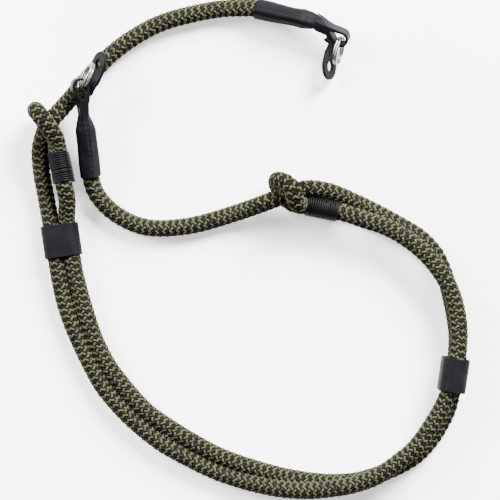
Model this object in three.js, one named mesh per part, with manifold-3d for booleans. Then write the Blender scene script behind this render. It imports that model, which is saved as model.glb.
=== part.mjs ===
// Rope camera strap: two braided ropes, each sewn into a leather tab at one end and whipped
// into an eye round the other rope at the other end, with two leather keepers over the pair.
// The strap lies flat on a surface at z = 0. Millimetres, +Z up.

import * as THREE from "three";
import { mergeVertices } from "three/addons/utils/BufferGeometryUtils.js";
import Module from "manifold-3d";

// ---- driving dimensions --------------------

const ropeRadius = 4.5;
const ropeSides = 12;
const ropeRunSteps = 60;
const ropeEyeSteps = 20;
const clearance = 0.3;

// lead and eyeLead: how far the rope keeps straight beyond each end; tail: where its cut end stops
const whipping = { wall: 0.9, gap: 0.35, lowLeg: 6, highLeg: 15.7, lead: 2.5, eyeLead: 1.2, tail: 0.6 };
const whippingLeft = { middle: [-105.45, 46.2], heading: 102, length: 17.2 };
const whippingRight = { middle: [41.4, 22.6], heading: 168.5, length: 17.8 };

const keeperWall = 1.2;
const keeperLift = 0.1;
const keeperLeft = { middle: [-106.7, 5.3], heading: 98.5, length: 18.4, inner: [19, 9.8], corner: 4.85 };
const keeperRight = { middle: [114.5, -70.2], heading: 81.6, length: 19, inner: [12.8, 19.6], corner: 5.9 };

// ridgeHalf: half the thickness of the two sewn edges; ropeEnd: how deep the rope is sewn in
const socket = {
  boreRadius: 4.95, boreDepth: 9, boreSides: 24, ropeEnd: 8, lead: 1.5, ridgeHalf: 1.1, flankPoints: 9,
};
const strip = {
  leather: 1.5, height: 9.4, neckHalf: 2, neckFrom: 35, crotchAt: 42.5, loopAt: 51.8, loopRadius: 4.6,
  splitFrom: 43.7, splitHalf: 0.35, bendLength: 8,
};
const ring = {
  outerRadius: 8.25, wireRadius: 0.62, turnSpacing: 1.36, jogDegrees: 26, endGapDegrees: 5, steps: 84,
};
const pad = { leather: 1.6, wideRadius: 7.6, lugHoleRadius: 3, holeSides: 20 };

// mouth: the middle of the socket's mouth; heading: the way the tab points, from +X;
// lean: how far its upper edge tips to its right; pitch: how steeply it climbs;
// bend: the loop's turn to the left
const leftEnd = {
  mouth: [-89.9, 41.3, 8.2], heading: 96.8, lean: 13, pitch: 12, bend: 0,
  ringAt: [-92.5, 97, 18.9], ringHeading: 62, ringLean: 18,
  padRoute: [[-91.2, 78.6, 15.2], [-89.9, 87.5, 17.4], [-86.6, 99.5, 18.4], [-83.9, 110.8, 18.4]],
  padLeans: [13, 25],
};
const rightEnd = {
  mouth: [3.5, 136.6, 7.1], heading: -13.9, lean: 27, pitch: 7.5, bend: -26,
  ringAt: [50.6, 113.2, 8.6], ringHeading: -104, ringLean: 14,
  padRoute: [[39.2, 123.5, 7.4], [44, 119.5, 7.4], [44.9, 110, 7.6], [44.3, 96.2, 7.6]],
  padLeans: [32, 30],
};

// ---- rope routes: the middle line of each rope, by hand --------------------

// from inside the left tab, round the near side, through the right eye, back along the far
// side and through both keepers to the left whipping
const ropeARoute = [
  [-87.9, 33.6, 6.5], [-84.5, 28.2, 5.2], [-76.2, 20.4, 4.7], [-60.1, 13.1, 4.6], [-35.7, 13.5, 4.8],
  [-7.7, 21.1, 5.6], [11.5, 27.6, 14.8], [21.4, 31.4, 14], [31.3, 35.1, 16.5], [45.3, 33.8, 13.9],
  [63.9, 25.7, 5.3], [80, 16.9, 4.7], [96.7, 6.7, 4.6], [111.5, -17, 4.6], [117.3, -47, 4.8],
  [116.5, -62, 6.2], [114.7, -78, 6.5], [111, -93, 4.9], [94.5, -116.1, 4.8], [63.5, -130.2, 4.6],
  [26, -129.1, 4.6], [-16.1, -116.8, 4.6], [-60, -89.1, 4.7], [-87, -51.2, 4.8], [-98.8, -15.7, 5.6],
  [-100.5, -5.1, 6.3], [-102.2, 5.7, 6.3], [-103.5, 14.8, 6.2], [-103.9, 18.4, 6.8],
  [-102.7, 27.8, 12.6],
];
// up over the other rope, round its far side and back under it
const ropeAEye = [
  [-107.8, 60.1, 17.1], [-109, 63.8, 21.1], [-111.7, 68, 23.7], [-115, 72.8, 24.1],
  [-118.2, 76.7, 21.5], [-120, 78.4, 16.3], [-119.6, 77.3, 10.4], [-117.3, 73.8, 6.3],
  [-114.1, 68.9, 4.9], [-109.8, 61.5, 5.4],
];

// from inside the right tab, along the top, through the left eye, down through the keepers
// and back over rope A to the right whipping
const ropeBRoute = [
  [-4.9, 136.9, 6.4], [-13.9, 136.9, 5.2], [-29.7, 134.4, 4.8], [-53.2, 127.5, 4.8], [-77, 112.5, 4.9],
  [-93.7, 95.2, 5.1], [-100.3, 86.9, 7.3], [-106.8, 78.4, 12.6], [-112.9, 70.9, 14.7],
  [-117.8, 58, 12.7], [-117.9, 45.1, 8.2], [-115.5, 30.3, 6.2], [-113, 16, 6.4], [-111.4, 4.4, 6.2],
  [-109.7, -6.5, 6.3], [-107.8, -17.1, 5.5], [-102.7, -37.2, 4.7], [-84.2, -76.2, 4.8],
  [-48, -110.9, 4.9], [-8.5, -129.8, 5.4], [14.7, -135.2, 9.3], [34.8, -135.5, 12.3], [53.9, -133, 14],
  [72, -126.5, 14.7], [94, -110, 14.6], [106.9, -90.9, 14.6], [113.2, -75.1, 16], [116.5, -58, 16.1],
  [116.9, -40, 14.8], [111.7, -20.7, 14.6], [98.6, -2.4, 14.6], [80.1, 11.1, 14.4], [62.2, 17.6, 15.3],
];
const ropeBEye = [
  [28.7, 24.6, 17.2], [27.4, 27.3, 23.3], [24.7, 33.5, 25], [20.2, 36.9, 22.7], [17.3, 38.6, 19.4],
  [15.1, 39.2, 13.7], [15.4, 36.7, 7.8], [17.7, 32.3, 4.9], [21.2, 28.2, 4.7], [26.2, 25.4, 4.5],
];

// ---- materials --------------------

function finish(color, roughness, metalness = 0) {
  return new THREE.MeshStandardMaterial({ color, roughness, metalness });
}
const braidOlive = finish(0x6f6f55, 0.9);
const leatherBlack = finish(0x23272c, 0.5);
const threadBlack = finish(0x1e1e22, 0.6);
const steelBright = finish(0xc9c7c2, 0.25, 1);

// ---- helpers --------------------

const wasm = await Module();
wasm.setup();

const radians = THREE.MathUtils.degToRad;

function solid(geometry) {
  const bare = new THREE.BufferGeometry();
  bare.setAttribute("position", geometry.getAttribute("position").clone());
  if (geometry.index) bare.setIndex(geometry.index.clone());
  const merged = mergeVertices(bare, 1e-4);
  return new wasm.Manifold(new wasm.Mesh({
    numProp: 3,
    vertProperties: new Float32Array(merged.getAttribute("position").array),
    triVerts: new Uint32Array(merged.index.array),
  }));
}

function geometryOf(manifold) {
  const mesh = manifold.getMesh();
  const geometry = new THREE.BufferGeometry();
  geometry.setAttribute("position", new THREE.BufferAttribute(Float32Array.from(mesh.vertProperties), 3));
  geometry.setIndex(Array.from(mesh.triVerts));
  return geometry;
}

// a closed skin through rings of points that all have the same count
function loft(rings) {
  const count = rings[0].length;
  const positions = rings.flat().flatMap((point) => point.toArray());
  const middleOf = (points) => points.reduce((sum, p) => sum.add(p), new THREE.Vector3()).divideScalar(count);
  const last = rings.length - 1;
  positions.push(...middleOf(rings[0]).toArray(), ...middleOf(rings[last]).toArray());
  const startMiddle = rings.length * count;
  const indices = [];
  for (let r = 0; r < last; r += 1) {
    for (let i = 0; i < count; i += 1) {
      const a = r * count + i;
      const b = r * count + (i + 1) % count;
      indices.push(a, b, a + count, b, b + count, a + count);
    }
  }
  for (let i = 0; i < count; i += 1) {
    const next = (i + 1) % count;
    indices.push(startMiddle, next, i);
    indices.push(startMiddle + 1, last * count + i, last * count + next);
  }
  const geometry = new THREE.BufferGeometry();
  geometry.setAttribute("position", new THREE.Float32BufferAttribute(positions, 3));
  geometry.setIndex(indices);
  return geometry;
}

function roundedRectangle(width, height, corner, holeToo) {
  const path = holeToo ? new THREE.Path() : new THREE.Shape();
  const x = width / 2 - corner;
  const y = height / 2 - corner;
  path.absarc(x, y, corner, 0, Math.PI / 2);
  path.absarc(-x, y, corner, Math.PI / 2, Math.PI);
  path.absarc(-x, -y, corner, Math.PI, 1.5 * Math.PI);
  path.absarc(x, -y, corner, 1.5 * Math.PI, 2 * Math.PI);
  path.closePath();
  return path;
}

// a tube of rounded-rectangle section, its axis along local +X and its middle at the origin
function sleeveGeometry([innerWidth, innerHeight], innerCorner, wall, length) {
  const outline = roundedRectangle(innerWidth + 2 * wall, innerHeight + 2 * wall, innerCorner + wall, false);
  outline.holes.push(roundedRectangle(innerWidth, innerHeight, innerCorner, true));
  const options = { depth: length, bevelEnabled: false, curveSegments: 8 };
  const geometry = new THREE.ExtrudeGeometry(outline, options);
  geometry.translate(0, 0, -length / 2);
  geometry.rotateX(Math.PI / 2);
  geometry.rotateZ(Math.PI / 2);
  return geometry;
}

// turns a mesh that is modelled pointing along +X to its heading, pitch and lean, and seats it
function seat(mesh, [x, y, z], heading, lean = 0, pitch = 0) {
  mesh.rotation.set(radians(lean), -radians(pitch), radians(heading), "ZYX");
  mesh.position.set(x, y, z);
  return mesh;
}

function named(name, geometry, material) {
  const mesh = new THREE.Mesh(geometry, material);
  mesh.name = name;
  return mesh;
}

// ---- ropes --------------------

// a point on one leg of the rope inside a whipping, so many millimetres from its middle
function legPoint(place, along, height) {
  const angle = radians(place.heading);
  return [place.middle[0] + along * Math.cos(angle), place.middle[1] + along * Math.sin(angle), height];
}

function socketPoint(end, along) {
  const angle = radians(end.heading);
  const level = along * Math.cos(radians(end.pitch));
  const [x, y, z] = end.mouth;
  return [x + level * Math.cos(angle), y + level * Math.sin(angle), z + along * Math.sin(radians(end.pitch))];
}

function ropeTube(points, steps) {
  const path = new THREE.CatmullRomCurve3(points.map((p) => new THREE.Vector3(...p)), false, "centripetal");
  const section = new THREE.Shape();
  const corners = Array.from({ length: ropeSides }, (_, i) => {
    const angle = (2 * Math.PI * i) / ropeSides;
    return new THREE.Vector2(ropeRadius * Math.cos(angle), ropeRadius * Math.sin(angle));
  });
  section.setFromPoints(corners);
  return new THREE.ExtrudeGeometry(section, { steps, extrudePath: path, bevelEnabled: false });
}

function ropeRun(end, route, whip) {
  const outside = -whip.length / 2 - whipping.lead;
  const inSocket = [socketPoint(end, socket.ropeEnd), socketPoint(end, -socket.lead)];
  const { highLeg } = whipping;
  const inWhipping = [legPoint(whip, outside, highLeg), legPoint(whip, -clearance / 2, highLeg)];
  return [...inSocket, ...route, ...inWhipping];
}

function ropeEye(whip, route) {
  const { lowLeg, highLeg } = whipping;
  const outside = whip.length / 2 + whipping.eyeLead;
  const tail = whipping.tail - whip.length / 2;
  return [
    legPoint(whip, clearance / 2, highLeg), legPoint(whip, outside, highLeg),
    ...route,
    legPoint(whip, outside, lowLeg), legPoint(whip, 0, lowLeg), legPoint(whip, tail, lowLeg),
  ];
}

// ---- whippings and keepers --------------------

function whippingMesh(name, place) {
  const width = 2 * (ropeRadius + whipping.gap);
  const height = whipping.highLeg - whipping.lowLeg + width;
  const geometry = sleeveGeometry([width, height], width / 2, whipping.wall, place.length);
  const middleHeight = (whipping.highLeg + whipping.lowLeg) / 2;
  return seat(named(name, geometry, threadBlack), [...place.middle, middleHeight], place.heading);
}

function keeperMesh(name, place) {
  const geometry = sleeveGeometry(place.inner, place.corner, keeperWall, place.length);
  const middleHeight = place.inner[1] / 2 + keeperWall + keeperLift;
  return seat(named(name, geometry, leatherBlack), [...place.middle, middleHeight], place.heading);
}

// ---- leather tabs --------------------

// round about the rope, pinched to a sewn ridge above and below it
const socketSections = [
  { x: 0, radius: 5.85, ridge: 7.1 },
  { x: 8, radius: 5.85, ridge: 7.1 },
  { x: 18, radius: 5.3, ridge: 6.9 },
  { x: 27, radius: 5, ridge: 6.2 },
  { x: 31, radius: 4, ridge: 5.6 },
  { x: 35, radius: 2.8, ridge: 4.9 },
  { x: 39, radius: 1.9, ridge: 4.7 },
];

function pinchedRing({ x, radius, ridge }) {
  const { ridgeHalf, flankPoints } = socket;
  const reach = Math.atan2(ridge, ridgeHalf) - Math.acos(radius / Math.hypot(ridge, ridgeHalf));
  const angles = Array.from({ length: flankPoints }, (_, i) => reach * ((2 * i) / (flankPoints - 1) - 1));
  const corner = (y, z) => new THREE.Vector3(x, y, z);
  const flank = angles.map((angle) => corner(radius * Math.cos(angle), radius * Math.sin(angle)));
  const farFlank = flank.map(({ y, z }) => corner(-y, z)).reverse();
  return [
    ...flank, corner(ridgeHalf, ridge), corner(-ridgeHalf, ridge),
    ...farFlank, corner(-ridgeHalf, -ridge), corner(ridgeHalf, -ridge),
  ];
}

// the folded strip in plan: two layers side by side in the neck, parting round the ring
function teardrop(path, from, halfWidth, radius) {
  const reach = strip.loopAt - strip.crotchAt;
  const tilt = Math.asin(THREE.MathUtils.clamp((radius - halfWidth) / reach, -1, 1));
  path.moveTo(from, -halfWidth);
  if (from < strip.crotchAt) path.lineTo(strip.crotchAt, -halfWidth);
  path.absarc(strip.loopAt, 0, radius, -Math.PI / 2 - tilt, Math.PI / 2 + tilt);
  path.lineTo(Math.max(from, strip.crotchAt), halfWidth);
  if (from < strip.crotchAt) path.lineTo(from, halfWidth);
  path.closePath();
  return path;
}

function foldedStrip() {
  const outline = teardrop(new THREE.Shape(), strip.neckFrom, strip.neckHalf, strip.loopRadius);
  const insideRadius = strip.loopRadius - strip.leather;
  const inside = teardrop(new THREE.Path(), strip.splitFrom, strip.splitHalf, insideRadius);
  outline.holes.push(inside);
  const options = { depth: strip.height, bevelEnabled: false, curveSegments: 14 };
  const geometry = new THREE.ExtrudeGeometry(outline, options);
  geometry.translate(0, 0, -strip.height / 2);
  return geometry;
}

// turns everything past the start of the neck sideways, along an arc and then straight on
function bendSideways(geometry, from, length, angle) {
  if (angle === 0) return geometry;
  const position = geometry.getAttribute("position");
  const arcRadius = length / angle;
  for (let i = 0; i < position.count; i += 1) {
    const along = position.getX(i) - from;
    if (along <= 0) continue;
    const turned = angle * Math.min(along / length, 1);
    const beyond = Math.max(along - length, 0);
    const sideways = position.getY(i);
    const x = from + (arcRadius - sideways) * Math.sin(turned) + beyond * Math.cos(turned);
    const y = arcRadius - (arcRadius - sideways) * Math.cos(turned) + beyond * Math.sin(turned);
    position.setXY(i, x, y);
  }
  return geometry;
}

function tabMesh(name, end) {
  const { boreRadius, boreDepth, boreSides } = socket;
  const bore = new THREE.CylinderGeometry(boreRadius, boreRadius, 2 * boreDepth, boreSides);
  bore.rotateZ(Math.PI / 2);
  const pinched = loft(socketSections.map(pinchedRing));
  const body = solid(pinched).add(solid(foldedStrip())).subtract(solid(bore));
  const geometry = bendSideways(geometryOf(body), strip.neckFrom, strip.bendLength, radians(end.bend));
  return seat(named(name, geometry, leatherBlack), end.mouth, end.heading, end.lean, end.pitch);
}

// ---- split rings --------------------

// one wire wound almost twice round, stepping from the lower turn to the upper one at a short jog
class SplitRingPath extends THREE.Curve {
  getPoint(t, target = new THREE.Vector3()) {
    const radius = ring.outerRadius - ring.wireRadius;
    const jog = radians(ring.jogDegrees);
    const total = 4 * Math.PI - jog - 2 * radians(ring.endGapDegrees);
    const angle = t * total;
    const rise = THREE.MathUtils.smoothstep(angle, total / 2 - jog / 2, total / 2 + jog / 2) - 0.5;
    return target.set(radius * Math.cos(angle), rise * ring.turnSpacing, radius * Math.sin(angle));
  }
}

function ringMesh(name, end) {
  const section = new THREE.Shape();
  section.absarc(0, 0, ring.wireRadius, 0, 2 * Math.PI);
  const options = { steps: ring.steps, extrudePath: new SplitRingPath(), curveSegments: 4 };
  const geometry = new THREE.ExtrudeGeometry(section, { ...options, bevelEnabled: false });
  return seat(named(name, geometry, steelBright), end.ringAt, end.ringHeading, end.ringLean);
}

// ---- protector pads --------------------

// half-widths along the pad, from the end sewn to the tab's neck to the start of its round end
const padWidths = [
  { along: 0, half: 2.6 }, { along: 0.6, half: 3.5 }, { along: 2, half: 4 }, { along: 7, half: 3.8 },
  { along: 12, half: 4.2 }, { along: 16, half: 5.4 }, { along: 20, half: 6.9 },
];

function padSections(length) {
  const { wideRadius } = pad;
  const middle = length - wideRadius;
  const round = [-15, 5, 25, 45, 62, 76, 87].map((degrees) => ({
    along: middle + wideRadius * Math.sin(radians(degrees)),
    half: wideRadius * Math.cos(radians(degrees)),
  }));
  return [...padWidths.filter(({ along }) => along < round[0].along - 1), ...round];
}

function padMesh(name, end) {
  const places = end.padRoute.map((p) => new THREE.Vector3(...p));
  const path = new THREE.CatmullRomCurve3(places, false, "centripetal");
  const length = path.getLength();
  const half = pad.leather / 2;
  const up = new THREE.Vector3(0, 0, 1);
  const frameAt = (along) => {
    const share = THREE.MathUtils.clamp(along / length, 0, 1);
    const forward = path.getTangentAt(share);
    const left = new THREE.Vector3().crossVectors(up, forward).normalize();
    const lean = -radians(THREE.MathUtils.lerp(...end.padLeans, share));
    return { at: path.getPointAt(share), left: left.applyAxisAngle(forward, -lean), forward };
  };
  const rings = padSections(length).map(({ along, half: width }) => {
    const { at, left, forward } = frameAt(along);
    const rise = new THREE.Vector3().crossVectors(forward, left);
    const corner = (y, z) => at.clone().addScaledVector(left, y).addScaledVector(rise, z);
    return [corner(half, -width), corner(half, width), corner(-half, width), corner(-half, -width)];
  });
  const hole = frameAt(length - pad.wideRadius);
  const { lugHoleRadius, leather, holeSides } = pad;
  const drill = new THREE.CylinderGeometry(lugHoleRadius, lugHoleRadius, 5 * leather, holeSides);
  drill.applyQuaternion(new THREE.Quaternion().setFromUnitVectors(new THREE.Vector3(0, 1, 0), hole.left));
  drill.translate(...hole.at.toArray());
  return named(name, geometryOf(solid(loft(rings)).subtract(solid(drill))), leatherBlack);
}

// ---- assembly --------------------

const strap = new THREE.Group();
strap.add(
  named("rope_a_run", ropeTube(ropeRun(leftEnd, ropeARoute, whippingLeft), ropeRunSteps), braidOlive),
  named("rope_a_eye", ropeTube(ropeEye(whippingLeft, ropeAEye), ropeEyeSteps), braidOlive),
  named("rope_b_run", ropeTube(ropeRun(rightEnd, ropeBRoute, whippingRight), ropeRunSteps), braidOlive),
  named("rope_b_eye", ropeTube(ropeEye(whippingRight, ropeBEye), ropeEyeSteps), braidOlive),
  whippingMesh("whipping_left", whippingLeft),
  whippingMesh("whipping_right", whippingRight),
  keeperMesh("keeper_left", keeperLeft),
  keeperMesh("keeper_right", keeperRight),
  tabMesh("tab_left", leftEnd),
  tabMesh("tab_right", rightEnd),
  ringMesh("split_ring_left", leftEnd),
  ringMesh("split_ring_right", rightEnd),
  padMesh("protector_left", leftEnd),
  padMesh("protector_right", rightEnd),
);

export default strap;
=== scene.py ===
import math

import bpy
import numpy as np
from mathutils import Euler, Matrix, Vector
from mathutils.bvhtree import BVHTree


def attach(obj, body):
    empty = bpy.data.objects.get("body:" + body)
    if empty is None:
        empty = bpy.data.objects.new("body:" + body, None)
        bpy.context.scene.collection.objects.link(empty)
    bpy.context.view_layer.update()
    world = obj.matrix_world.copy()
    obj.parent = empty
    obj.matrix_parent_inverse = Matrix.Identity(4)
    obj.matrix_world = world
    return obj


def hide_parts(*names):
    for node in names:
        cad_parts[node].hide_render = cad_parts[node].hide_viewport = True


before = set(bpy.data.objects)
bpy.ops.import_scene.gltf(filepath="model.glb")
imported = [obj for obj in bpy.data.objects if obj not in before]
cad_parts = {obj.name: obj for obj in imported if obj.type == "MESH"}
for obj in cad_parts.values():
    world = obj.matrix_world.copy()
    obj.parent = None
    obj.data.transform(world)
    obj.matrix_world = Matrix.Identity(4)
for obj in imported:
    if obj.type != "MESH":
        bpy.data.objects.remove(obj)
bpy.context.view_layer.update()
print("frame loaded", flush=True)

mm = 0.001

# camera: straight above the laid strap

cameraSpec = {"height": 0.9, "spanAtFloor": 0.285}
cameraData = bpy.data.cameras.new("camera")
cameraData.sensor_width = 36
cameraData.lens = 18 * cameraSpec["height"] / (cameraSpec["spanAtFloor"] / 2)
camera = bpy.data.objects.new("camera", cameraData)
camera.location = (0, 0, cameraSpec["height"])
bpy.context.scene.collection.objects.link(camera)
bpy.context.scene.camera = camera


# materials

def newMaterial(name):
    material = bpy.data.materials.new(name)
    material.use_nodes = True
    return material, material.node_tree, material.node_tree.nodes["Principled BSDF"]


# A node with its settings, and its inputs set to values or linked to sockets
def addNode(tree, kind, inputs=None, **settings):
    node = tree.nodes.new(kind)
    for key, value in settings.items():
        setattr(node, key, value)
    for key, value in (inputs or {}).items():
        if isinstance(value, bpy.types.NodeSocket):
            tree.links.new(value, node.inputs[key])
        else:
            node.inputs[key].default_value = value
    return node


def objectNoise(tree, scale, detail=3, roughness=0.5):
    place = addNode(tree, "ShaderNodeTexCoord")
    return addNode(tree, "ShaderNodeTexNoise", {
        "Vector": place.outputs["Object"], "Scale": scale, "Detail": detail, "Roughness": roughness,
    })


def ramp(tree, source, stops):
    node = addNode(tree, "ShaderNodeValToRGB", {"Fac": source})
    elements = node.color_ramp.elements
    while len(elements) < len(stops):
        elements.new(0.5)
    for element, (at, color) in zip(elements, stops):
        element.position = at
        element.color = (*color, 1)
    return node.outputs["Color"]


def bumpFrom(tree, height, strength, distance):
    bump = addNode(tree, "ShaderNodeBump", {"Height": height, "Strength": strength, "Distance": distance})
    return bump.outputs["Normal"]


def leatherMaterial(name, dark, light, roughness):
    material, tree, shader = newMaterial(name)
    broad = objectNoise(tree, 90, 4)
    tree.links.new(ramp(tree, broad.outputs["Fac"], [(0.35, dark), (0.7, light)]), shader.inputs["Base Color"])
    place = addNode(tree, "ShaderNodeTexCoord")
    grain = addNode(
        tree, "ShaderNodeTexVoronoi", {"Vector": place.outputs["Object"], "Scale": 1700},
        feature="DISTANCE_TO_EDGE",
    )
    fine = objectNoise(tree, 900, 4)
    both = addNode(
        tree, "ShaderNodeMath", {0: grain.outputs["Distance"], 1: fine.outputs["Fac"]}, operation="ADD",
    )
    tree.links.new(bumpFrom(tree, both.outputs[0], 0.7, 0.00014), shader.inputs["Normal"])
    shader.inputs["Roughness"].default_value = roughness
    shader.inputs["IOR"].default_value = 1.08
    return material


def yarnMaterial(name):
    material, tree, shader = newMaterial(name)
    kind = addNode(tree, "ShaderNodeAttribute", attribute_name="yarn").outputs["Fac"]
    shade = addNode(tree, "ShaderNodeAttribute", attribute_name="shade").outputs["Fac"]
    stops = [(0, yarnColors["blackAndGapShade"]), (0.25, yarnColors["khaki"]), (0.75, yarnColors["violet"])]
    scaled = addNode(tree, "ShaderNodeMath", {0: kind, 1: 0.5}, operation="MULTIPLY").outputs[0]
    colors = ramp(tree, scaled, stops)
    tree.nodes[-1].color_ramp.interpolation = "CONSTANT"
    strands = objectNoise(tree, 2600, 2)
    tone = addNode(tree, "ShaderNodeMath", {0: strands.outputs["Fac"], 1: 0.5}, operation="MULTIPLY").outputs[0]
    total = addNode(tree, "ShaderNodeMath", {0: tone, 1: shade}, operation="ADD").outputs[0]
    mixed = addNode(tree, "ShaderNodeMix", {0: 1.0}, data_type="RGBA", blend_type="MULTIPLY")
    tree.links.new(colors, mixed.inputs[6])
    tree.links.new(total, mixed.inputs[7])
    tree.links.new(mixed.outputs[2], shader.inputs["Base Color"])
    tree.links.new(bumpFrom(tree, strands.outputs["Fac"], 0.5, 0.00012), shader.inputs["Normal"])
    shader.inputs["Roughness"].default_value = 0.85
    shader.inputs["IOR"].default_value = 1.1
    return material


def plainMaterial(name, color, roughness, metallic=0.0, noiseScale=1500.0, bump=0.2, ior=1.5):
    material, tree, shader = newMaterial(name)
    noise = objectNoise(tree, noiseScale, 3)
    low = tuple(0.8 * c for c in color)
    high = tuple(min(0.95, 1.2 * c) for c in color)
    tree.links.new(ramp(tree, noise.outputs["Fac"], [(0.3, low), (0.7, high)]), shader.inputs["Base Color"])
    tree.links.new(bumpFrom(tree, noise.outputs["Fac"], bump, 0.00005), shader.inputs["Normal"])
    shader.inputs["Roughness"].default_value = roughness
    shader.inputs["Metallic"].default_value = metallic
    shader.inputs["IOR"].default_value = ior
    return material


# blackAndGapShade, the dark floats' colour, is in part black yarn and in part painted shade for the shaded gaps
# between the khaki floats
yarnColors = {
    "khaki": (0.0342, 0.0349, 0.0206), "blackAndGapShade": (0.0082, 0.008, 0.0047), "violet": (0.014, 0.0115, 0.0155),
}
# leatherPaintedShade: the keepers' leather at about three quarters of its brightness, painted shade for the
# shade that the camera body, not in this scene, casts on the tabs and pads
leatherPaintedShade = leatherMaterial("leatherPaintedShade", (0.0023, 0.0026, 0.0031), (0.0042, 0.0045, 0.005), 0.45)
keeperLeather = leatherMaterial("keeperLeather", (0.0031, 0.0034, 0.004), (0.0055, 0.0058, 0.0065), 0.45)
leathers = {
    "leather_keepers": keeperLeather,
    "leather_tabs": leatherPaintedShade,
    "leather_pads": leatherPaintedShade,
}
yarn = yarnMaterial("yarn")
ropeCore = plainMaterial("ropeCore", (0.003, 0.0027, 0.0015), 0.95, ior=1.05)
waxedCord = plainMaterial("waxedCord", (0.0019, 0.0019, 0.0023), 0.5, noiseScale=3000, ior=1.14)
stitchThread = plainMaterial("stitchThread", (0.007, 0.0075, 0.0085), 0.6, noiseScale=4000, ior=1.16)
nickel = plainMaterial("nickel", (0.22, 0.205, 0.185), 0.34, metallic=1.0, noiseScale=400, bump=0.01)
whiteFloor = plainMaterial("whiteFloor", (0.9, 0.9, 0.9), 0.8, noiseScale=3, bump=0.0, ior=1.1)


# curves and meshes

# The centripetal curve that the solids follow, as an array of places
def catmullRom(points, perSpan=14):
    p = [np.array(q, float) for q in points]
    p = [2 * p[0] - p[1], *p, 2 * p[-1] - p[-2]]
    out = []
    for i in range(1, len(p) - 2):
        gaps = [max(np.linalg.norm(p[j + 1] - p[j]) ** 0.5, 1e-6) for j in (i - 1, i, i + 1)]
        before, here, after = p[i] - p[i - 1], p[i + 1] - p[i], p[i + 2] - p[i + 1]
        start = before / gaps[0] - (before + here) / (gaps[0] + gaps[1]) + here / gaps[1]
        end = here / gaps[1] - (here + after) / (gaps[1] + gaps[2]) + after / gaps[2]
        start, end = start * gaps[1], end * gaps[1]
        for t in np.arange(perSpan) / perSpan:
            rise = p[i] * (2 * t**3 - 3 * t**2 + 1) + p[i + 1] * (3 * t**2 - 2 * t**3)
            out.append(rise + start * (t**3 - 2 * t**2 + t) + end * (t**3 - t**2))
    out.append(p[-2])
    return np.array(out)


# The same line with even steps
def resample(points, step):
    lengths = np.concatenate([[0], np.cumsum(np.linalg.norm(np.diff(points, axis=0), axis=1))])
    count = max(int(round(lengths[-1] / step)), 2)
    at = np.linspace(0, lengths[-1], count + 1)
    return np.stack([np.interp(at, lengths, points[:, k]) for k in range(3)], 1)


def meshObject(name, verts, faces, edges=(), smooth=True):
    mesh = bpy.data.meshes.new(name)
    mesh.from_pydata([tuple(v) for v in verts], list(edges), faces)
    if smooth:
        mesh.shade_smooth()
    thing = bpy.data.objects.new(name, mesh)
    bpy.context.scene.collection.objects.link(thing)
    return thing


def polyline(name, points, closed=False):
    count = len(points)
    edges = [(i, (i + 1) % count) for i in range(count if closed else count - 1)]
    return meshObject(name, points, [], edges, smooth=False)


def triangleCount(thing):
    return sum(len(face.vertices) - 2 for face in thing.data.polygons)


def dropObject(thing):
    mesh = thing.data
    bpy.data.objects.remove(thing)
    if mesh and not mesh.users:
        bpy.data.meshes.remove(mesh)


# Geometry Nodes helpers

# An empty tree with a geometry socket each way and the named inputs
def newTree(name, inputs):
    tree = bpy.data.node_groups.new(name, "GeometryNodeTree")
    tree.interface.new_socket("Geometry", in_out="OUTPUT", socket_type="NodeSocketGeometry")
    tree.interface.new_socket("Geometry", in_out="INPUT", socket_type="NodeSocketGeometry")
    for label, kind in inputs.items():
        tree.interface.new_socket(label, in_out="INPUT", socket_type="NodeSocket" + kind)
    source = tree.nodes.new("NodeGroupInput")
    return tree, source.outputs


def closeTree(tree, geometry):
    sink = tree.nodes.new("NodeGroupOutput")
    tree.links.new(geometry, sink.inputs[0])


def math2(tree, operation, a, b=0.0):
    return addNode(tree, "ShaderNodeMath", {0: a, 1: b}, operation=operation).outputs[0]


def vector2(tree, operation, a, b=None, scale=None):
    inputs = {0: a}
    if b is not None:
        inputs[1] = b
    if scale is not None:
        inputs[3] = scale
    return addNode(tree, "ShaderNodeVectorMath", inputs, operation=operation).outputs[0]


def randomFloat(tree, seed, low, high):
    node = addNode(tree, "FunctionNodeRandomValue", {"Seed": seed}, data_type="FLOAT")
    node.inputs[2].default_value = low
    node.inputs[3].default_value = high
    return [socket for socket in node.outputs if socket.enabled][0]


# One number kept on each instance, for a material to read
def storeFloat(tree, geometry, name, value):
    return addNode(
        tree, "GeometryNodeStoreNamedAttribute", {"Geometry": geometry, "Name": name, "Value": value},
        data_type="FLOAT", domain="INSTANCE",
    ).outputs[0]


# A round tube along a curve
def tubeAlong(tree, curve, radius, resolution, caps=True):
    ring = addNode(
        tree, "GeometryNodeCurvePrimitiveCircle", {"Resolution": resolution, "Radius": radius}, mode="RADIUS",
    ).outputs["Curve"]
    return addNode(
        tree, "GeometryNodeCurveToMesh", {"Curve": curve, "Profile Curve": ring, "Fill Caps": caps},
    ).outputs["Mesh"]


# The mesh that the tree makes from base, as a new object at the origin
def runNodes(base, tree, values, name):
    modifier = base.modifiers.new("nodes", "NODES")
    modifier.node_group = tree
    for item in tree.interface.items_tree:
        if item.in_out == "INPUT" and item.name in values:
            modifier[item.identifier] = values[item.name]
    base.update_tag()
    bpy.context.view_layer.update()
    depsgraph = bpy.context.evaluated_depsgraph_get()
    evaluated = base.evaluated_get(depsgraph)
    mesh = bpy.data.meshes.new_from_object(evaluated, preserve_all_data_layers=True, depsgraph=depsgraph)
    base.modifiers.remove(modifier)
    mesh.name = name
    thing = bpy.data.objects.new(name, mesh)
    bpy.context.scene.collection.objects.link(thing)
    return thing


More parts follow.
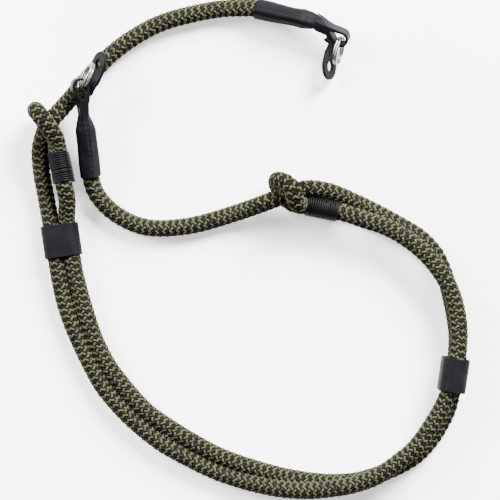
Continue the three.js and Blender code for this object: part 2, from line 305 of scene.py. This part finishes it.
# braid: floats laid in columns along the middle line, over a dark core
# repeat: from one khaki float to the next in a column; phases: how far on each column starts, in repeats
# a dark float lies lower by darkDrop, and is shorter and narrower by the shares darkShort and darkThin
braid = {
    "columns": 18, "repeat": 3.83 * mm, "phases": (0.0, 0.92, 0.18, 0.66, 0.56, 0.46), "radius": 5.02 * mm,
    "coreRadius": 4.62 * mm, "length": 3.1 * mm, "width": 1.45 * mm, "height": 0.66 * mm, "angle": 46,
    "darkDrop": 0.2 * mm, "darkShort": 0.3, "darkThin": 0.1, "violetEvery": 8.0,
}


# one float, along X with its crown up +Z, its underside open and its ends dipping in
def floatMesh(name, spec):
    stations = [(-0.4, 0.88), (-0.14, 1.0), (0.14, 1.0), (0.4, 0.88)]
    profile = [(-0.5, 0.0), (-0.27, 0.82), (0.27, 0.82), (0.5, 0.0)]
    tip = -0.4 * spec["height"]
    verts = [(-0.5 * spec["length"], 0, tip)]
    for along, full in stations:
        for side, rise in profile:
            crown = spec["height"] * (1.22 * rise * full - 1.7 * along**2)
            verts.append((along * spec["length"], side * full * spec["width"], crown))
    verts.append((0.5 * spec["length"], 0, tip))
    faces = []
    for k in range(3):
        faces.append((0, 1 + k + 1, 1 + k))
        for row in range(3):
            a = 1 + 4 * row + k
            faces.append((a, a + 1, a + 5, a + 4))
        a = 13 + k
        faces.append((a, a + 1, 17))
    return meshObject(name, verts, faces)


def braidTree():
    tree, given = newTree("braid", {
        "Count": "Int", "Columns": "Float", "Repeat": "Float", "Roll": "Float", "Radius": "Float",
        "Core radius": "Float", "Angle": "Float", "Float": "Object", "Yarn": "Material", "Core": "Material",
        "Seed": "Int",
    })
    line = addNode(tree, "GeometryNodeMeshToCurve", {"Mesh": given["Geometry"]}).outputs["Curve"]
    path = addNode(tree, "GeometryNodeSetCurveNormal", {"Curve": line}).outputs["Curve"]

    # even columns slant one way and odd ones the other; their starts repeat round the rope
    index = addNode(tree, "GeometryNodeInputIndex").outputs["Index"]
    column = math2(tree, "FLOORED_MODULO", index, given["Columns"])
    row = math2(tree, "FLOOR", math2(tree, "DIVIDE", index, given["Columns"]))
    pair = math2(tree, "FLOOR", math2(tree, "DIVIDE", column, 2.0))
    odd = math2(tree, "FLOORED_MODULO", column, 2.0)
    sign = math2(tree, "SUBTRACT", 1.0, math2(tree, "MULTIPLY", odd, 2.0))
    phases = addNode(tree, "GeometryNodeIndexSwitch", data_type="FLOAT")
    tree.links.new(math2(tree, "FLOORED_MODULO", column, float(len(braid["phases"]))), phases.inputs[0])
    for k, value in enumerate(braid["phases"]):
        if k >= len(phases.index_switch_items):
            phases.index_switch_items.new()
        phases.inputs[1 + k].default_value = value
    phase = math2(tree, "ADD", phases.outputs[0], randomFloat(tree, given["Seed"], -0.03, 0.03))
    steps = math2(tree, "ADD", math2(tree, "DIVIDE", row, 2.0), phase)
    along = math2(tree, "MULTIPLY", steps, given["Repeat"])

    sample = addNode(
        tree, "GeometryNodeSampleCurve", {"Curves": path, "Length": along}, mode="LENGTH", use_all_curves=True,
    )
    tangent, normal = sample.outputs["Tangent"], sample.outputs["Normal"]
    columnTurn = math2(tree, "DIVIDE", 2 * math.pi, given["Columns"])
    turn = math2(tree, "ADD", given["Roll"], math2(tree, "MULTIPLY", column, columnTurn))
    side = vector2(tree, "CROSS_PRODUCT", tangent, normal)
    cosPart = vector2(tree, "SCALE", normal, scale=math2(tree, "COSINE", turn))
    sinPart = vector2(tree, "SCALE", side, scale=math2(tree, "SINE", turn))
    outward = vector2(tree, "NORMALIZE", vector2(tree, "ADD", cosPart, sinPart))
    around = vector2(tree, "CROSS_PRODUCT", tangent, outward)
    wobble = randomFloat(tree, given["Seed"], -0.07, 0.07)
    slant = math2(tree, "ADD", given["Angle"], wobble)
    ahead = vector2(tree, "SCALE", tangent, scale=math2(tree, "COSINE", slant))
    across = vector2(tree, "SCALE", around, scale=math2(tree, "MULTIPLY", math2(tree, "SINE", slant), sign))
    heading = vector2(tree, "ADD", ahead, across)

    # every second float of a column is a dark one: in part black yarn, in part painted shade for the shaded
    # gaps between the khaki floats
    dark = math2(tree, "FLOORED_MODULO", row, 2.0)
    level = math2(tree, "SUBTRACT", given["Radius"], math2(tree, "MULTIPLY", dark, braid["darkDrop"]))
    place = vector2(tree, "ADD", sample.outputs["Position"], vector2(tree, "SCALE", outward, scale=level))
    cloud = addNode(tree, "GeometryNodePoints", {"Count": given["Count"], "Position": place}).outputs[0]
    spin = addNode(
        tree, "FunctionNodeAxesToRotation", {"Primary Axis": outward, "Secondary Axis": heading},
        primary_axis="Z", secondary_axis="X",
    )
    full = randomFloat(tree, given["Seed"], 0.93, 1.05)
    long = math2(tree, "SUBTRACT", full, math2(tree, "MULTIPLY", dark, braid["darkShort"]))
    wide = math2(tree, "SUBTRACT", full, math2(tree, "MULTIPLY", dark, braid["darkThin"]))
    size = addNode(tree, "ShaderNodeCombineXYZ", {"X": long, "Y": wide, "Z": wide}).outputs[0]
    shape = addNode(tree, "GeometryNodeObjectInfo", {"Object": given["Float"]}).outputs["Geometry"]
    floats = addNode(tree, "GeometryNodeInstanceOnPoints", {
        "Points": cloud, "Instance": shape, "Rotation": spin.outputs["Rotation"], "Scale": size,
    }).outputs[0]

    # one carrier holds violet yarn: it shows once in each turn round the rope, a step on in each pair
    turnRows = math2(tree, "SUBTRACT", math2(tree, "DIVIDE", row, 2.0), pair)
    first = math2(tree, "LESS_THAN", math2(tree, "FLOORED_MODULO", turnRows, braid["violetEvery"]), 0.5)
    violet = math2(tree, "MULTIPLY", first, odd)
    kind = math2(tree, "MULTIPLY", math2(tree, "SUBTRACT", 1.0, dark), math2(tree, "ADD", 1.0, violet))
    stored = storeFloat(tree, floats, "yarn", kind)
    tone = randomFloat(tree, given["Seed"], 0.62, 0.86)
    shaded = storeFloat(tree, stored, "shade", tone)
    real = addNode(tree, "GeometryNodeRealizeInstances", {"Geometry": shaded}).outputs[0]
    yarned = addNode(tree, "GeometryNodeSetMaterial", {"Geometry": real, "Material": given["Yarn"]}).outputs[0]

    tube = tubeAlong(tree, path, given["Core radius"], 18)
    cored = addNode(tree, "GeometryNodeSetMaterial", {"Geometry": tube, "Material": given["Core"]}).outputs[0]
    both = addNode(tree, "GeometryNodeJoinGeometry")
    tree.links.new(yarned, both.inputs[0])
    tree.links.new(cored, both.inputs[0])
    closeTree(tree, both.outputs[0])
    return tree


# the two ropes, in millimetres here and in metres below
# their points are not the solids' own: a scratch program fitted those, and others moved them by up to 2 mm
ropeSpec = {"diameter": 9.2, "lineStep": 1.5}
whippingSpec = {
    "lowLeg": 6, "highLeg": 15.7, "lead": 2.5, "eyeLead": 1.2, "tail": 0.6, "turns": 14, "cordRadius": 0.66,
    "reach": 5.2,
}
whippings = {
    "left": {"middle": (-106.3, 46.3), "heading": 102, "length": 17.2},
    "right": {"middle": (40.6, 23.3), "heading": 168.5, "length": 17.8},
}
ends = {
    "left": {"mouth": (-89.9, 41.3, 8.2), "heading": 96.8, "pitch": 12, "lean": 13},
    "right": {"mouth": (3.5, 136.6, 7.1), "heading": -13.9, "pitch": 7.5, "lean": 27},
}
ropeARoute = [
  [-87.9, 33.6, 6.5], [-84.5, 28.2, 5.2], [-76.2, 20.4, 4.7], [-60.1, 13.1, 4.6], [-35.7, 13.5, 4.8],
  [-7.7, 21.1, 5.6], [11.5, 27.6, 14.8], [21.5, 31.3, 14], [31.4, 34.5, 16.5], [45, 32.8, 13.9],
  [57.1, 28.1, 7.9], [63.7, 25.3, 5.3], [80, 16.9, 4.7], [96.8, 6.8, 4.6], [104.8, -1.8, 4.6],
  [108, -7.8, 4.6], [111.4, -17, 4.6], [117.3, -47, 4.8], [116.5, -62, 6.2], [114.7, -78, 6.5],
  [111, -93, 4.9], [94.5, -116.1, 4.8], [63.5, -130.2, 4.6], [45.8, -131.7, 4.6], [35, -131, 4.6],
  [25.9, -129.6, 4.6], [15.3, -127.4, 4.6], [-16.2, -117.3, 4.6], [-36.7, -106.3, 4.6], [-41.4, -103.4, 4.6],
  [-55, -94.4, 4.7], [-60.6, -89.7, 4.7], [-77.9, -69.3, 4.7], [-81.5, -63.7, 4.7], [-87.6, -51.5, 4.8],
  [-90.2, -44.8, 4.9], [-98.6, -15.7, 5.6], [-100.5, -5.1, 6.3], [-102.2, 5.7, 6.3], [-103.5, 14.8, 6.2],
  [-103.9, 18.4, 6.8], [-102.7, 27.8, 12.6],
]
ropeAEye = [
  [-107.8, 60.1, 17.4], [-108.9, 63.8, 21.1], [-111.6, 67.9, 23.8], [-115, 72.9, 24.3],
  [-118.2, 76.7, 21.5], [-120, 78.4, 16.3], [-119.6, 77.3, 10.4], [-117.3, 73.8, 6.3],
  [-114.1, 68.9, 4.9], [-109.8, 61.5, 5.4],
]
ropeBRoute = [
  [-4.9, 136.9, 6.4], [-13.9, 136.9, 5.2], [-29.7, 134.4, 4.8], [-53.2, 127.5, 4.8], [-77, 112.5, 4.9],
  [-93.7, 95.2, 5.1], [-100.3, 86.9, 7.3], [-106.8, 78.4, 12.6], [-112.9, 70.9, 14.7], [-117.8, 58, 12.7],
  [-117.9, 45.1, 8.2], [-115.5, 30.3, 6.2], [-112.9, 16, 6.4], [-111.4, 4.4, 6.2], [-109.4, -6.4, 6.3],
  [-107.7, -17.1, 5.5], [-102.7, -37.2, 4.7], [-84.2, -76.2, 4.8], [-76, -86.5, 4.8], [-70.6, -92.4, 4.8],
  [-64, -98.6, 4.8], [-56.1, -105.1, 4.9], [-48, -110.9, 4.9], [-20.4, -125.1, 4.8], [-8.3, -129.3, 5.4],
  [-1.2, -131.3, 6.3], [14.9, -134.4, 9.3], [27.7, -135.3, 11.3], [34.8, -135.2, 12.3], [53.8, -132.7, 14],
  [61.7, -130.6, 14.4], [72, -126.5, 14.7], [90.3, -113.3, 14.6], [93.8, -109.8, 14.6], [106.5, -90.7, 14.6],
  [109.8, -83.8, 15.2], [113.2, -75.1, 16], [116.5, -58, 16.1], [116.9, -40, 14.8], [111.7, -20.7, 14.6],
  [98.6, -2.4, 14.6], [80.1, 11.1, 14.4], [62.2, 17.6, 15.3],
]
ropeBEye = [
  [28.3, 24.5, 17.6], [25.2, 27.3, 22.9], [24, 33.4, 25], [20.2, 37.6, 22.7], [17.3, 38.6, 19.4],
  [15.1, 39.2, 13.7], [15.4, 36.7, 7.8], [17.7, 32.3, 4.9], [21.2, 28.2, 4.7], [26.2, 25.4, 4.5],
]


def legPoint(place, along, height):
    angle = math.radians(place["heading"])
    return (place["middle"][0] + along * math.cos(angle), place["middle"][1] + along * math.sin(angle), height)


def socketPoint(end, along):
    angle, pitch = math.radians(end["heading"]), math.radians(end["pitch"])
    level = along * math.cos(pitch)
    x, y, z = end["mouth"]
    return (x + level * math.cos(angle), y + level * math.sin(angle), z + along * math.sin(pitch))


def wholeRoute(end, run, whip, eye):
    low, high = whippingSpec["lowLeg"], whippingSpec["highLeg"]
    half = whip["length"] / 2
    eyeSide = half + whippingSpec["eyeLead"]
    return [
        socketPoint(end, 8), socketPoint(end, -1.5), *run,
        legPoint(whip, -half - whippingSpec["lead"], high),
        legPoint(whip, 0, high), legPoint(whip, eyeSide, high),
        *eye,
        legPoint(whip, eyeSide, low), legPoint(whip, 0, low),
        legPoint(whip, whippingSpec["tail"] - half, low),
    ]


# takes the kinks out of a line
def soften(points, rounds=4):
    for _ in range(rounds):
        points[1:-1] = 0.25 * points[:-2] + 0.5 * points[1:-1] + 0.25 * points[2:]
    return points


def makeRope(name, end, run, whip, eye, roll, seed):
    route = catmullRom(wholeRoute(end, run, whip, eye)) * mm
    middle = soften(resample(route, ropeSpec["lineStep"] * mm))
    length = float(np.linalg.norm(np.diff(middle, axis=0), axis=1).sum())
    base = polyline(name + "Line", middle)
    shape = floatMesh(name + "Float", braid)
    rows = int(2 * length / braid["repeat"]) - 2
    rope = runNodes(base, braidNodes, {
        "Count": rows * braid["columns"], "Columns": float(braid["columns"]), "Repeat": braid["repeat"],
        "Roll": math.radians(roll), "Radius": braid["radius"] - braid["height"],
        "Core radius": braid["coreRadius"], "Angle": math.radians(braid["angle"]), "Float": shape,
        "Yarn": yarn, "Core": ropeCore, "Seed": seed,
    }, name)
    dropObject(base)
    dropObject(shape)
    return rope, middle, length


braidNodes = braidTree()
ropeSpecs = {
    "ropeA": ("left", ropeARoute, "left", ropeAEye, ("rope_a_run", "rope_a_eye"), -26, 3),
    "ropeB": ("right", ropeBRoute, "right", ropeBEye, ("rope_b_run", "rope_b_eye"), -38, 8),
}
for name, (side, run, whipSide, eye, nodes, roll, seed) in ropeSpecs.items():
    rope, middle, length = makeRope(name, ends[side], run, whippings[whipSide], eye, roll, seed)
    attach(rope, "root")
    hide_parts(*nodes)
    print(name, "length", round(length, 4), "triangles", triangleCount(rope), flush=True)


# whippings: turns of cord round both legs of each eye
def whippingTree():
    tree, given = newTree("whipping", {
        "Turns": "Int", "Length": "Float", "Cord radius": "Float", "Cord": "Material", "Seed": "Int",
    })
    loop = addNode(tree, "GeometryNodeMeshToCurve", {"Mesh": given["Geometry"]}).outputs["Curve"]
    turn = tubeAlong(tree, loop, given["Cord radius"], 8, caps=False)
    smooth = addNode(tree, "GeometryNodeSetShadeSmooth", {"Geometry": turn}).outputs[0]
    count = given["Turns"]
    index = addNode(tree, "GeometryNodeInputIndex").outputs["Index"]
    share = math2(tree, "DIVIDE", math2(tree, "ADD", index, 0.5), count)
    along = math2(tree, "MULTIPLY", math2(tree, "SUBTRACT", share, 0.5), given["Length"])
    place = addNode(tree, "ShaderNodeCombineXYZ", {"X": along}).outputs[0]
    points = addNode(tree, "GeometryNodePoints", {"Count": count, "Position": place}).outputs[0]
    jitter = addNode(tree, "FunctionNodeRandomValue", {"Seed": given["Seed"]}, data_type="FLOAT_VECTOR")
    jitter.inputs[0].default_value = (-0.012, -0.018, -0.018)
    jitter.inputs[1].default_value = (0.012, 0.018, 0.018)
    tilt = [socket for socket in jitter.outputs if socket.enabled][0]
    turned = addNode(tree, "FunctionNodeEulerToRotation", {0: tilt}).outputs[0]
    laid = addNode(tree, "GeometryNodeInstanceOnPoints", {
        "Points": points, "Instance": smooth, "Rotation": turned,
    }).outputs[0]
    real = addNode(tree, "GeometryNodeRealizeInstances", {"Geometry": laid}).outputs[0]
    wound = addNode(tree, "GeometryNodeSetMaterial", {"Geometry": real, "Material": given["Cord"]}).outputs[0]
    closeTree(tree, wound)
    return tree


# a closed line round two stacked legs, in the plane across X
def stackedLoop(reach, halfRise, count=40):
    points = []
    for k in range(count):
        angle = 2 * math.pi * (k + 0.5) / count
        y, z = reach * math.cos(angle), reach * math.sin(angle)
        points.append((0, y, z + (halfRise if z > 0 else -halfRise)))
    return np.array(points)


def seatMatrix(place, heading, lean=0):
    turn = Euler((math.radians(lean), 0, math.radians(heading)), "XYZ").to_matrix().to_4x4()
    return Matrix.Translation(Vector(place) * mm) @ turn


whippingNodes = whippingTree()
for side, spec in whippings.items():
    low, high = whippingSpec["lowLeg"], whippingSpec["highLeg"]
    base = polyline("turnLine", stackedLoop(whippingSpec["reach"], (high - low) / 2) * mm, closed=True)
    piece = runNodes(base, whippingNodes, {
        "Turns": whippingSpec["turns"], "Length": spec["length"] * mm,
        "Cord radius": whippingSpec["cordRadius"] * mm, "Cord": waxedCord, "Seed": 5,
    }, "whipping" + side.capitalize())
    dropObject(base)
    piece.data.transform(seatMatrix((*spec["middle"], (low + high) / 2), spec["heading"]))
    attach(piece, "root")
    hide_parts("whipping_" + side)
print("whippings made", flush=True)


# leather pieces: the solids' shapes, with their edges worn round
softSpecs = {
    "tab_left": {"name": "tabLeft", "voxel": 0.28, "passes": 14, "slot": "leather_tabs"},
    "tab_right": {"name": "tabRight", "voxel": 0.28, "passes": 14, "slot": "leather_tabs"},
    "keeper_left": {"name": "keeperLeft", "voxel": 0.25, "passes": 3, "slot": "leather_keepers"},
    "keeper_right": {"name": "keeperRight", "voxel": 0.25, "passes": 3, "slot": "leather_keepers"},
    "protector_left": {"name": "protectorLeft", "voxel": 0.22, "passes": 3, "slot": "leather_pads"},
    "protector_right": {"name": "protectorRight", "voxel": 0.22, "passes": 3, "slot": "leather_pads"},
}
# stitches along each tab: the line's places along and across the tab, from the mouth
seamSpec = {"pitch": 2.75, "length": 1.9, "radius": 0.25, "lift": 0.1}
seams = {
    "tab_left": {"end": "left", "line": [(3.5, -1.9), (12, -1.9), (22, -1.8), (30, -1.3)]},
    "tab_right": {"end": "right", "line": [(3.5, -1), (12, -1), (20, -1.2), (30, -1)]},
}


def softMesh(node, spec):
    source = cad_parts[node]
    mesh = source.data.copy()
    mesh.transform(source.matrix_world)
    piece = bpy.data.objects.new(spec["name"] + "Solid", mesh)
    bpy.context.scene.collection.objects.link(piece)
    remesh = piece.modifiers.new("remesh", "REMESH")
    remesh.mode = "VOXEL"
    remesh.voxel_size = spec["voxel"] * mm
    relax = piece.modifiers.new("relax", "SMOOTH")
    relax.iterations = spec["passes"]
    relax.factor = 0.5
    bpy.context.view_layer.update()
    evaluated = piece.evaluated_get(bpy.context.evaluated_depsgraph_get())
    made = bpy.data.meshes.new_from_object(evaluated)
    dropObject(piece)
    made.materials.clear()
    made.materials.append(leathers[spec["slot"]])
    made.shade_smooth()
    made.name = spec["name"]
    piece = bpy.data.objects.new(spec["name"], made)
    bpy.context.scene.collection.objects.link(piece)
    return piece


# the pads and the tabs' necks ease a little from their solids, in millimetres
# tailFrom: where along Y a pad's tail starts; the left one keeps tailShare of its length
padLean = Matrix.Rotation(math.radians(-12), 3, Vector((-0.234, -0.967, -0.104)).normalized())
padHole = Vector((-86.3, 103.7, 18.5))
leftPad = {"tailFrom": 92, "tailShare": 0.42, "shift": 1.2}
rightPad = {"tailFrom": 112, "across": 0.35, "back": 0.3}
leftNeck = {
    "edge": -97.6, "shift": 0.8, "shares": [(80, 0), (90, 1)],
    "widths": [(41, 1), (52, 1.05), (62, 1.12), (75, 1.2), (83, 1.4), (88, 1.2), (92, 1)],
}
rightNeck = {
    "middles": [(22, 132.2), (27, 131), (32, 129.5), (36.6, 128), (41.3, 126), (45, 124.4), (49, 122.5)],
    "widths": [(24, 1), (28, 1.06), (32, 1.22), (36.6, 1.45), (41.3, 1.4), (45, 1.12), (48, 1)],
}


def tableValue(value, table):
    return float(np.interp(value, *zip(*table)))


def easePadLeft(place):
    if place.y < leftPad["tailFrom"]:
        place.y = leftPad["tailFrom"] - (leftPad["tailFrom"] - place.y) * leftPad["tailShare"]
    place = padLean @ (place - padHole) + padHole
    place.x += leftPad["shift"]
    return place


def easePadRight(place):
    tail = max(place.y - rightPad["tailFrom"], 0)
    place.x += rightPad["across"] * tail
    place.y -= rightPad["back"] * tail
    return place


def easeTabLeft(place):
    place.x = leftNeck["edge"] + (place.x - leftNeck["edge"]) * tableValue(place.y, leftNeck["widths"])
    place.x += leftNeck["shift"] * tableValue(place.y, leftNeck["shares"])
    return place


def easeTabRight(place):
    middle = tableValue(place.x, rightNeck["middles"])
    place.y = middle + (place.y - middle) * tableValue(place.x, rightNeck["widths"])
    return place


easing = {
    "protector_left": easePadLeft, "protector_right": easePadRight,
    "tab_left": easeTabLeft, "tab_right": easeTabRight,
}


def easeMesh(mesh, change):
    for vertex in mesh.vertices:
        vertex.co = change(vertex.co / mm) * mm


# one stitch, a small rounded bar along Z
def stitchMesh(length, radius, sides=8):
    rings = [(-0.5, 0.45), (-0.38, 0.9), (0.0, 1.0), (0.38, 0.9), (0.5, 0.45)]
    verts = []
    for along, full in rings:
        for k in range(sides):
            angle = 2 * math.pi * k / sides
            verts.append((radius * full * math.cos(angle), radius * full * math.sin(angle), along * length))
    faces = [tuple(range(sides))[::-1], tuple(range(4 * sides, 5 * sides))]
    for row in range(4):
        for k in range(sides):
            a, b = sides * row + k, sides * row + (k + 1) % sides
            faces.append((a, b, b + sides, a + sides))
    return meshObject("stitch", verts, faces)


def stitchTree():
    tree, given = newTree("stitches", {
        "Seam": "Object", "Stitch": "Object", "Pitch": "Float", "Thread": "Material",
    })
    seam = addNode(tree, "GeometryNodeObjectInfo", {"Object": given["Seam"]}).outputs["Geometry"]
    line = addNode(tree, "GeometryNodeMeshToCurve", {"Mesh": seam}).outputs["Curve"]
    points = addNode(
        tree, "GeometryNodeCurveToPoints", {"Curve": line, "Length": given["Pitch"]}, mode="LENGTH",
    )
    shape = addNode(tree, "GeometryNodeObjectInfo", {"Object": given["Stitch"]}).outputs["Geometry"]
    laid = addNode(tree, "GeometryNodeInstanceOnPoints", {
        "Points": points.outputs["Points"], "Instance": shape, "Rotation": points.outputs["Rotation"],
    }).outputs[0]
    real = addNode(tree, "GeometryNodeRealizeInstances", {"Geometry": laid}).outputs[0]
    sewn = addNode(tree, "GeometryNodeSetMaterial", {"Geometry": real, "Material": given["Thread"]}).outputs[0]
    both = addNode(tree, "GeometryNodeJoinGeometry")
    tree.links.new(sewn, both.inputs[0])
    tree.links.new(given["Geometry"], both.inputs[0])
    closeTree(tree, both.outputs[0])
    return tree


# the seam's line, dropped onto the leather from above
def seamPoints(piece, spec):
    mesh = piece.data
    surface = BVHTree.FromPolygons([v.co for v in mesh.vertices], [f.vertices for f in mesh.polygons])
    end = ends[spec["end"]]
    angle, pitch = math.radians(end["heading"]), math.radians(end["pitch"])
    points = []
    for along, across in resample(np.array([(*p, 0) for p in spec["line"]], float), 1)[:, :2]:
        x = end["mouth"][0] + along * math.cos(pitch) * math.cos(angle) - across * math.sin(angle)
        y = end["mouth"][1] + along * math.cos(pitch) * math.sin(angle) + across * math.cos(angle)
        place, normal = surface.ray_cast(Vector((x, y, 60)) * mm, Vector((0, 0, -1)))[:2]
        points.append(place + normal * seamSpec["lift"] * mm)
    return points


stitchNodes = stitchTree()
for node, spec in softSpecs.items():
    piece = softMesh(node, spec)
    if node in easing:
        easeMesh(piece.data, easing[node])
    if node in seams:
        plain = piece
        seam = polyline("seam", seamPoints(plain, seams[node]))
        stitch = stitchMesh(seamSpec["length"] * mm, seamSpec["radius"] * mm)
        piece = runNodes(plain, stitchNodes, {
            "Seam": seam, "Stitch": stitch, "Pitch": seamSpec["pitch"] * mm, "Thread": stitchThread,
        }, spec["name"])
        for spare in (plain, seam, stitch):
            dropObject(spare)
        piece.name = spec["name"]
    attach(piece, "root")
    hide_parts(node)
    print(spec["name"], "triangles", triangleCount(piece), flush=True)

# split rings: one wire wound almost twice round, with a short jog between the turns
ringSpec = {"radius": 7.63, "wire": 0.62, "spacing": 1.36, "jog": 26, "gap": 5, "steps": 220}
ringSeats = {
    "split_ring_left": {"name": "splitRingLeft", "at": (-91.3, 97.1, 19.2), "heading": 62, "lean": 18},
    "split_ring_right": {"name": "splitRingRight", "at": (50.1, 112.7, 8.2), "heading": -104, "lean": 14},
}


def ringPoints():
    jog = math.radians(ringSpec["jog"])
    total = 4 * math.pi - jog - 2 * math.radians(ringSpec["gap"])
    radius = ringSpec["radius"]
    points = []
    for angle in np.linspace(0, total, ringSpec["steps"]):
        share = min(max((angle - total / 2) / jog + 0.5, 0), 1)
        rise = share * share * (3 - 2 * share) - 0.5
        points.append((radius * math.cos(angle), rise * ringSpec["spacing"], radius * math.sin(angle)))
    return np.array(points)


def wireTree():
    tree, given = newTree("wire", {"Wire radius": "Float", "Metal": "Material"})
    line = addNode(tree, "GeometryNodeMeshToCurve", {"Mesh": given["Geometry"]}).outputs["Curve"]
    wire = tubeAlong(tree, line, given["Wire radius"], 12)
    smooth = addNode(tree, "GeometryNodeSetShadeSmooth", {"Geometry": wire}).outputs[0]
    plated = addNode(tree, "GeometryNodeSetMaterial", {"Geometry": smooth, "Material": given["Metal"]})
    closeTree(tree, plated.outputs[0])
    return tree


wireNodes = wireTree()
for node, spec in ringSeats.items():
    base = polyline("wireLine", ringPoints() * mm)
    piece = runNodes(base, wireNodes, {"Wire radius": ringSpec["wire"] * mm, "Metal": nickel}, spec["name"])
    dropObject(base)
    piece.data.transform(seatMatrix(spec["at"], spec["heading"], spec["lean"]))
    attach(piece, "root")
    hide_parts(node)
print("hardware dressed", flush=True)

# floor and light
floorSpec = {"half": 1.5, "glow": 0.9}
half = floorSpec["half"]
corners = [(-half, -half, 0), (half, -half, 0), (half, half, 0), (-half, half, 0)]
floor = meshObject("floor", corners, [(0, 1, 2, 3)], smooth=False)
glow = whiteFloor.node_tree.nodes["Principled BSDF"]
glow.inputs["Emission Color"].default_value = (1, 1, 1, 1)
glow.inputs["Emission Strength"].default_value = floorSpec["glow"]
floor.data.materials.append(whiteFloor)

worldStrength = 0.15
world = bpy.data.worlds.new("world")
world.use_nodes = True
background = world.node_tree.nodes["Background"]
background.inputs["Color"].default_value = (1, 1, 1, 1)
background.inputs["Strength"].default_value = worldStrength
bpy.context.scene.world = world

lamps = {
    "keyLamp": {"at": (0.8, 1.25, 1.0), "size": 0.8, "power": 330},
    "fillLamp": {"at": (-1.3, 0.8, 0.95), "size": 0.9, "power": 150},
}
for name, spec in lamps.items():
    data = bpy.data.lights.new(name, "AREA")
    data.size = spec["size"]
    data.energy = spec["power"]
    lamp = bpy.data.objects.new(name, data)
    lamp.location = spec["at"]
    lamp.rotation_euler = (-lamp.location).to_track_quat("-Z", "Y").to_euler()
    bpy.context.scene.collection.objects.link(lamp)
